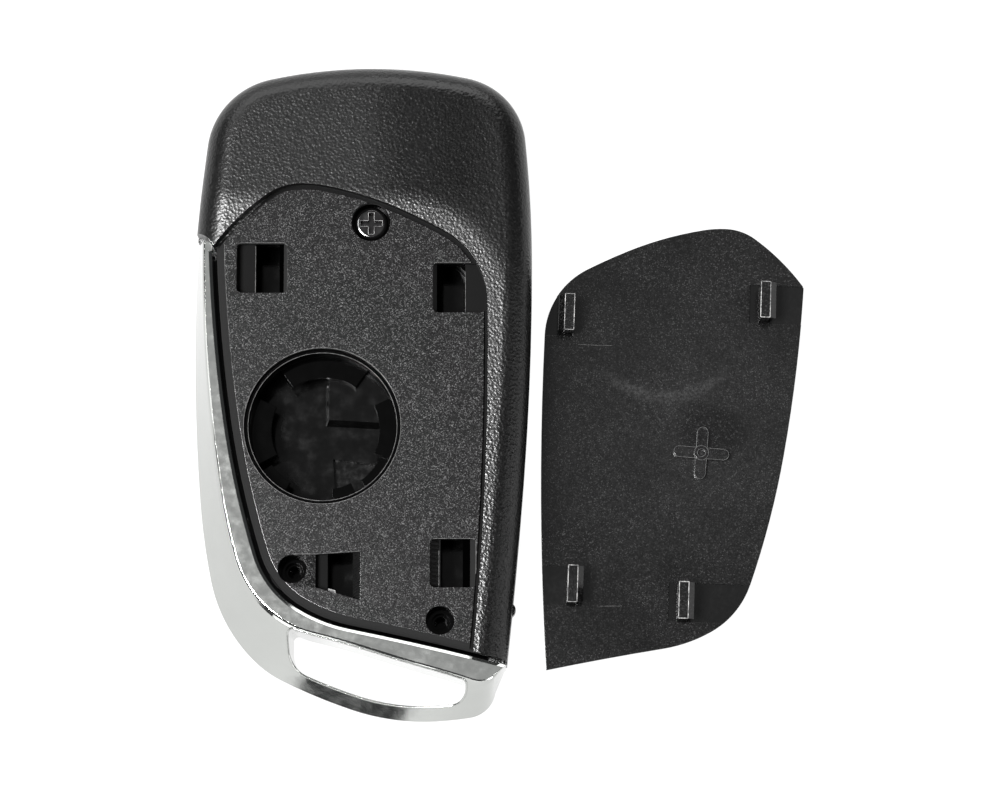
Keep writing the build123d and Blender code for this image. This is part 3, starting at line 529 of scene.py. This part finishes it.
# Pale lines: rubbed wear on the scratches, painted highlights on the rims of the slots and the opening
RUBBED_AND_HIGHLIT = wear_and_highlight_look("rubbed_and_highlit_edge", 0.003, 0.035)
GRIP = plastic_look("grip_black", 0.003, 0.3, 0.3, 0.01)
NODE_LOOKS = {
    "back_casing": CASING,
    "front_casing": CASING,
    "chrome_trim": TRIM,
    "battery_cover": cover_look(),
    "case_screw": plastic_look("screw_black", 0.001, 0.12, 0.8, 0.004),
    "board_tray": plastic_look("tray_black", 0.001, 0.1, 0.8, 0.004, gloss=0.14),
    "blade_hub": ZINC,
    "lock_core": ZINC,
    "key_blade": STEEL,
    "blade_pin": STEEL,
    "flip_spring": STEEL,
    "release_button": plating_look("button_plating", 0.68, 0.06),
    "button_pad": plastic_look("pad_black", 0.001, 0.12, 0.4, 0.003, gloss=0.2),
    "lock_button": KEY_BLACK,
    "unlock_button": KEY_BLACK,
    "boot_button": KEY_BLACK,
}


def sharp_edges(node, keep, turn):
    """The edges of a CAD node that turn by more than so many degrees and whose middle passes keep."""
    mesh = bmesh.new()
    mesh.from_mesh(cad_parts[node].data)
    bmesh.ops.remove_doubles(mesh, verts=mesh.verts, dist=MERGE_REACH)
    found = []
    for edge in mesh.edges:
        if len(edge.link_faces) == 2 and edge.calc_face_angle() > math.radians(turn):
            if keep((edge.verts[0].co + edge.verts[1].co) / 2):
                found.append([vertex.co.copy() for vertex in edge.verts])
    mesh.free()
    return found


def in_metres(line):
    return [(x * MM, y * MM, z * MM) for x, y, z in line]


def lines_at(height, lines):
    """Lines seen from above, put at a height, from millimetres into metres."""
    return [in_metres([(x, y, height) for x, y in line]) for line in lines]


def add_piece(name, data, look, body):
    """Put a piece's curve or mesh into the scene, with its look and on its body."""
    data.materials.append(look)
    made = bpy.data.objects.new(name, data)
    bpy.context.scene.collection.objects.link(made)
    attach(made, body)


def add_lines(name, lines, width, look, body="shell"):
    """Thin round lines of a width in millimetres through lists of points in metres."""
    curve = bpy.data.curves.new(name, "CURVE")
    curve.dimensions = "3D"
    curve.bevel_depth = width / 2 * MM
    curve.bevel_resolution = 1
    for line in lines:
        spline = curve.splines.new("POLY")
        spline.points.add(len(line) - 1)
        for point, place in zip(spline.points, line):
            point.co = (*place, 1)
    add_piece(name, curve, look, body)


def add_mesh(name, faces, look, body="shell"):
    """A mesh made of faces, each a list of points in millimetres."""
    mesh = bmesh.new()
    for face in faces:
        mesh.faces.new([mesh.verts.new(Vector(point) * MM) for point in face])
    bmesh.ops.remove_doubles(mesh, verts=mesh.verts, dist=MERGE_REACH)
    bmesh.ops.recalc_face_normals(mesh, faces=mesh.faces)
    data = bpy.data.meshes.new(name)
    mesh.to_mesh(data)
    mesh.free()
    add_piece(name, data, look, body)


def near(value, target, within=0.06):
    """Whether a length in metres is about a target in millimetres."""
    return abs(value / MM - target) < within


# Where the edges lie that get a line, all in millimetres. Upper rims of the three square slots: lowest
# and highest x, and y. The slanted slot's upper rim: lowest and highest x and y. The lower right slot's
# right rim: x, and lowest and highest y
SCREW_TOP_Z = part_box("case_screw")[1][2] / MM
SQUARE_RIMS = ((-11.8, -4.9, 25.1), (14.9, 22.0, 22.4), (14.6, 20.8, -15.3))
SLANTED_RIM = (-3.5, 5.2, -17.6, -16.9)
RIGHT_RIM = (20.8, -21.9, -15.3)
HOOK_EDGES_Z = 5.5
RIB_EDGES_Z = (2.2, 2.8)

# The key ring slot's upper edge: above this height, between two x, and below a line through a place
# that falls by so much for each millimetre to the right
LOOP_EDGE_Z = 7.2
LOOP_EDGE_X = (-5.0, 20.0)
LOOP_LINE = (-4.1, -27.0)
LOOP_FALL = 0.288


def slot_rim(middle):
    """The upper rims of the four clip slots, and the right rim of the lower right one."""
    if not near(middle.z, SEAT_Z):
        return False
    x, y = middle.x / MM, middle.y / MM
    square = any(left < x < right and near(middle.y, top) for left, right, top in SQUARE_RIMS)
    left, right, low, high = SLANTED_RIM
    slanted = left < x < right and low < y < high
    aside, low, high = RIGHT_RIM
    return square or slanted or near(middle.x, aside) and low < y < high


def opening_rim(middle):
    """The two steps around the battery opening."""
    around = math.hypot(middle.x, middle.y)
    upper = near(around, CELL_STEP_RADIUS, 0.1) and near(middle.z, SEAT_Z)
    lower = near(around, CELL_RADIUS, 0.1) and near(middle.z, CELL_STEP_Z)
    return upper or lower


def loop_edge(middle):
    """The upper edge of the key ring slot."""
    x, y, z = (value / MM for value in middle)
    border = LOOP_LINE[1] - (x - LOOP_LINE[0]) * LOOP_FALL
    return z > LOOP_EDGE_Z and LOOP_EDGE_X[0] < x < LOOP_EDGE_X[1] and y < border


def hook_edge(middle):
    """The upper edges of the cover's hooks."""
    return middle.z > HOOK_EDGES_Z * MM


def rib_edge(middle):
    """The upper edges of the cover's rib."""
    return RIB_EDGES_Z[0] * MM < middle.z < RIB_EDGES_Z[1] * MM


def screw_edge(middle):
    """The edges in the top of the screw's head."""
    return near(middle.z, SCREW_TOP_Z)


# Lines along sharp edges: piece, slot, node, test, least turn in degrees, width in millimetres and look
RIM_WIDTH = 0.09
EDGE_LINES = [
    # The screw's cross: partly wear, partly a painted highlight along its edges
    ("screw_wear_and_highlight", "screw", "case_screw", screw_edge, 25, 0.06, WORN_AND_HIGHLIT),
    ("loop_rim", "trim", "chrome_trim", loop_edge, 40, 0.3, TRIM),
    ("hook_wear", "cover", "battery_cover", hook_edge, 25, 0.13, WORN_AND_HIGHLIT),
    ("rib_wear", "cover", "battery_cover", rib_edge, 25, 0.08, wear_and_highlight_look("rib_rubbed", 0.001, 0.02)),
    # Painted highlights along the rounded rims of the slots and of the battery opening
    ("slot_rim_highlights", "casing", "back_casing", slot_rim, 25, RIM_WIDTH, RUBBED_AND_HIGHLIT),
    ("opening_rim_highlights", "casing", "back_casing", opening_rim, 25, RIM_WIDTH, RUBBED_AND_HIGHLIT),
]


def add_edge_lines():
    for name, slot, node, keep, turn, width, look in EDGE_LINES:
        add_lines(name, sharp_edges(node, keep, turn), width, look)


# The ramps beside two clip slots, in millimetres: x at the foot and at the top, y of both ends at the
# foot and at the top, the number of ridges, and how far a ridge moves in y on its way up
LEFT_GRIP = (4.22, 5.27, (-23.28, -17.08), (-23.57, -17.02), 14, 0.35)
RIGHT_GRIP = (15.75, 14.58, (-21.85, -15.35), (-21.85, -15.35), 11, 0.0)
GRIP_TOP_Z = SEAT_Z - 0.15

# A ridge starts and ends at these shares of its ramp, takes up this share of its pitch, and stands this
# many millimetres high
RIDGE_START = 0.08
RIDGE_END = 0.95
RIDGE_SHARE = 0.6
RIDGE_RISE = 0.26


def ramp_faces(low, high, ends_low, ends_high):
    """A wedge that rises from the line x = low to x = high, its two ends given at both lines."""
    a, b = [(low, y, LEDGE_Z) for y in ends_low]
    c, d = [(high, y, LEDGE_Z) for y in ends_high]
    over_c, over_d = [(high, y, GRIP_TOP_Z) for y in ends_high]
    return [[a, b, d, c], [a, over_c, over_d, b], [c, d, over_d, over_c], [a, c, over_c], [b, over_d, d]]


def ridge_faces(start, end, width):
    """A low ridge with a sharp back from one point to another."""
    side = Vector((0, width / 2, 0))
    lift = Vector((0, 0, RIDGE_RISE))
    start, end = Vector(start), Vector(end)
    left = (start - side, end - side)
    right = (start + side, end + side)
    back = (start + lift, end + lift)
    flanks = [[left[0], left[1], back[1], back[0]], [back[0], back[1], right[1], right[0]]]
    foot = [left[0], right[0], right[1], left[1]]
    ends = [[left[0], back[0], right[0]], [left[1], right[1], back[1]]]
    return [*flanks, foot, *ends]


def grip_faces(low, high, ends_low, ends_high, count, lean):
    """A ramp beside a clip slot with ridges across it, for the hook to snap over."""
    faces = ramp_faces(low, high, ends_low, ends_high)
    run = high - low
    rise = GRIP_TOP_Z - LEDGE_Z
    pitch = (ends_low[1] - ends_low[0] - abs(lean)) / count
    for number in range(count):
        y = ends_low[0] + (number + 0.5) * pitch
        first = (low + RIDGE_START * run, y, LEDGE_Z + RIDGE_START * rise)
        last = (low + RIDGE_END * run, y + lean, LEDGE_Z + RIDGE_END * rise)
        faces += ridge_faces(first, last, pitch * RIDGE_SHARE)
    return faces


# Free lines seen from above, in millimetres: pale lines along the edges of the slots' ledges, just above
# them, and two scratches on the cover
HOLE_EDGES = [[(-9.32, 18.4), (-9.32, 24.9)], [(19.32, 15.7), (19.32, 21.4)], [(15.8, -21.6), (15.8, -16.8)]]
HOLE_EDGES_Z = LEDGE_Z + 0.02
SCRATCHES = [[(34.9, 12.95), (37.2, 12.85), (39.6, 12.8)], [(37.8, -23.5), (40.8, -23.45)]]
SCRATCH_WIDTH = 0.05

# The bent lug in the lower left slot, in millimetres: its outline, top and foot, and the width of the
# painted highlight along the first edges of its top
TAB = [(0.85, -21.95), (1.8, -22.2), (1.8, -22.75), (0.85, -22.45)]
TAB_TOP_Z = LEDGE_Z - 0.3
TAB_FOOT_Z = LEDGE_Z - 0.8
TAB_EDGE_WIDTH = 0.2


def add_grips():
    add_mesh("slot_grip_left", grip_faces(*LEFT_GRIP), GRIP)
    add_mesh("slot_grip_right", grip_faces(*RIGHT_GRIP), GRIP)


def add_ledge_lines_and_scratches():
    """Pale lines along the edges of the slots' ledges, and scratches on the cover."""
    add_lines("hole_edges", lines_at(HOLE_EDGES_Z, HOLE_EDGES), RIM_WIDTH, RUBBED_AND_HIGHLIT)
    add_lines("cover_scratches", lines_at(COVER_FACE_Z, SCRATCHES), SCRATCH_WIDTH, RUBBED_AND_HIGHLIT)


def add_tab():
    """The bent lug in the lower left slot, with a painted highlight along its top."""
    top = [(x, y, TAB_TOP_Z) for x, y in TAB]
    foot = [(x, y, TAB_FOOT_Z) for x, y in TAB]
    sides = [[foot[i], foot[i - 1], top[i - 1], top[i]] for i in range(len(TAB))]
    add_mesh("slot_tab", [top, foot[::-1]] + sides, GRIP)
    # A painted highlight along the lug's top
    bright = wear_and_highlight_look("tab_highlight_edge", 0.15, 0.3)
    add_lines("slot_tab_highlight", [in_metres(top[:3])], TAB_EDGE_WIDTH, bright)


# The usual signs on the three keys: a shut padlock, an open one and a car with its boot up. Their
# points are in millimetres from the middle of a key, and each sign has its key's y and its lines
SIGN_X = 3.5
SIGN_Z = 0.17
SIGN_WIDTH = 0.26
ARCH_Y = 1.1
ARCH_TURNS = range(180, -1, -20)
SHACKLE_START = (-1.0, 0.4)
SHACKLE_END = (1.0, 0.4)
ARCH = [(math.cos(math.radians(turn)), ARCH_Y + math.sin(math.radians(turn))) for turn in ARCH_TURNS]
PADLOCK = [(-1.6, -2.0), (-1.6, 0.4), (1.6, 0.4), (1.6, -2.0), (-1.6, -2.0)]
CAR = [
    (2.9, -1.4), (2.9, -0.4), (1.6, -0.1), (0.7, 1.0), (-0.9, 1.0),
    (-1.6, 0.0), (-2.9, -0.1), (-2.9, -1.4), (2.9, -1.4),
]
BOOT_LID = [(-1.5, 0.2), (-2.8, 1.9)]
SIGNS = {
    "lock": (19.0, [PADLOCK, [SHACKLE_START, *ARCH, SHACKLE_END]]),
    "unlock": (6.0, [PADLOCK, [SHACKLE_START, *ARCH]]),
    "boot": (-7.0, [CAR, BOOT_LID]),
}


def add_signs():
    """The signs as thin lines of paint on the keys' faces."""
    paint = plastic_look("sign_paint", 0.6, 0.45, 0.4, 0.004)
    for key, (y, lines) in SIGNS.items():
        places = [[(SIGN_X + along, y + up) for along, up in line] for line in lines]
        add_lines(key + "_sign", lines_at(SIGN_Z, places), SIGN_WIDTH, paint, key + "_key")


def add_spring():
    """The coil spring once more, as a piece of its own on the hub's body, with the CAD node hidden."""
    made = bpy.data.objects.new("spring_coil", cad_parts["flip_spring"].data.copy())
    bpy.context.scene.collection.objects.link(made)
    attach(made, "hub")
    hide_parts("flip_spring")
    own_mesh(made)


def soften_edges(node, radius, angle):
    """Round a node's edges that turn by more than an angle, with its own mesh left as it is."""
    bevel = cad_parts[node].modifiers.new("soft_edges", "BEVEL")
    bevel.width = radius * MM
    bevel.segments = 3
    bevel.limit_method = "ANGLE"
    bevel.angle_limit = math.radians(angle)


# The floor lies a hair below the object, in millimetres, and reaches this many metres each way
FLOOR_Z = -0.05
FLOOR_REACH = 2
FLOOR_GREYS = [(NOISE_LOW, 0.01), (NOISE_HIGH, 0.012)]


def floor_look():
    """White that glows by itself, and nothing at all when seen from its back."""
    look = Look("floor_white", roughness=0.8)
    look.colour(look.greys(look.noise(pitch=200), FLOOR_GREYS))
    look.shader.inputs["Emission Color"].default_value = grey(1)
    look.shader.inputs["Emission Strength"].default_value = 1.0
    seen = look.node("ShaderNodeMixShader")
    look.put(seen.inputs[0], look.node("ShaderNodeNewGeometry").outputs["Backfacing"])
    look.put(seen.inputs[1], look.shader.outputs[0])
    look.put(seen.inputs[2], look.node("ShaderNodeBsdfTransparent").outputs[0])
    look.put(look.tree.nodes["Material Output"].inputs["Surface"], seen.outputs[0])
    return look.finish()


def add_floor():
    mesh = bpy.data.meshes.new("floor")
    outline = ((-1, -1), (1, -1), (1, 1), (-1, 1))
    corners = [(x * FLOOR_REACH, y * FLOOR_REACH, FLOOR_Z * MM) for x, y in outline]
    mesh.from_pydata(corners, [], [(0, 1, 2, 3)])
    made = bpy.data.objects.new("floor", mesh)
    bpy.context.scene.collection.objects.link(made)
    mesh.materials.append(floor_look())


def add_world():
    """Dim cool light from all around."""
    world = bpy.data.worlds.new("studio")
    bpy.context.scene.world = world
    world.use_nodes = True
    background = world.node_tree.nodes["Background"].inputs
    background["Color"].default_value = (0.95, 0.97, 1, 1)
    background["Strength"].default_value = 0.06


# All lights face this point. Each has its name, its place and its two sizes in metres, and its watts
AIM = (0.024, 0.005, 0)
LIGHTS = [
    ("key", (-0.446, -0.143, 1.2), (0.45, 0.45), 82.0),
    ("high_left", (-0.5, 0.28, 1.16), (0.25, 0.25), 6.5),
    ("key_right", (0.6, -0.6, 0.95), (0.3, 0.3), 3.0),
    ("right_strip", (1.1, 0.0, 0.5), (0.15, 1.2), 1.8),
    ("left_strip", (-1.1, 0.1, 0.75), (0.15, 1.2), 1.2),
    ("front_strip", (0.1, -1.2, 0.65), (1.4, 0.14), 3.5),
    ("front_card", (0.0, -1.3, 0.36), (2.4, 0.4), 7.5),
    ("back_rim", (-0.1, 1.2, 0.6), (1.6, 0.8), 13.0),
    ("top_soft", (-0.1, 0.3, 1.5), (0.9, 0.7), 0.9),
]


def add_light(name, place, size, power):
    data = bpy.data.lights.new(name, "AREA")
    data.shape = "RECTANGLE"
    data.size, data.size_y = size
    data.energy = power
    made = bpy.data.objects.new(name, data)
    made.location = place
    made.rotation_euler = (Vector(AIM) - Vector(place)).to_track_quat("-Z", "Y").to_euler()
    bpy.context.scene.collection.objects.link(made)


# The camera's place in metres, its tilt in degrees, its lens and sensor in millimetres, and the nearest
# and farthest that it sees in metres
CAMERA_PLACE = (0.024027, -0.060881, 0.471348)
CAMERA_TILT = 8
CAMERA_LENS = 123.12
CAMERA_SENSOR = 36
CAMERA_NEAREST = 0.01
CAMERA_FARTHEST = 5


def add_camera():
    data = bpy.data.cameras.new("camera")
    data.sensor_width = CAMERA_SENSOR
    data.lens = CAMERA_LENS
    data.clip_start = CAMERA_NEAREST
    data.clip_end = CAMERA_FARTHEST
    camera = bpy.data.objects.new("camera", data)
    camera.location = CAMERA_PLACE
    camera.rotation_euler = (math.radians(CAMERA_TILT), 0, 0)
    bpy.context.scene.collection.objects.link(camera)
    bpy.context.scene.camera = camera


for node, look in NODE_LOOKS.items():
    dress(node, look)
add_edge_lines()
add_grips()
add_ledge_lines_and_scratches()
add_tab()
add_signs()
add_spring()
soften_edges("chrome_trim", radius=0.3, angle=50)
add_floor()
add_world()
for light in LIGHTS:
    add_light(*light)
add_camera()
bpy.context.scene.view_settings.view_transform = "Standard"
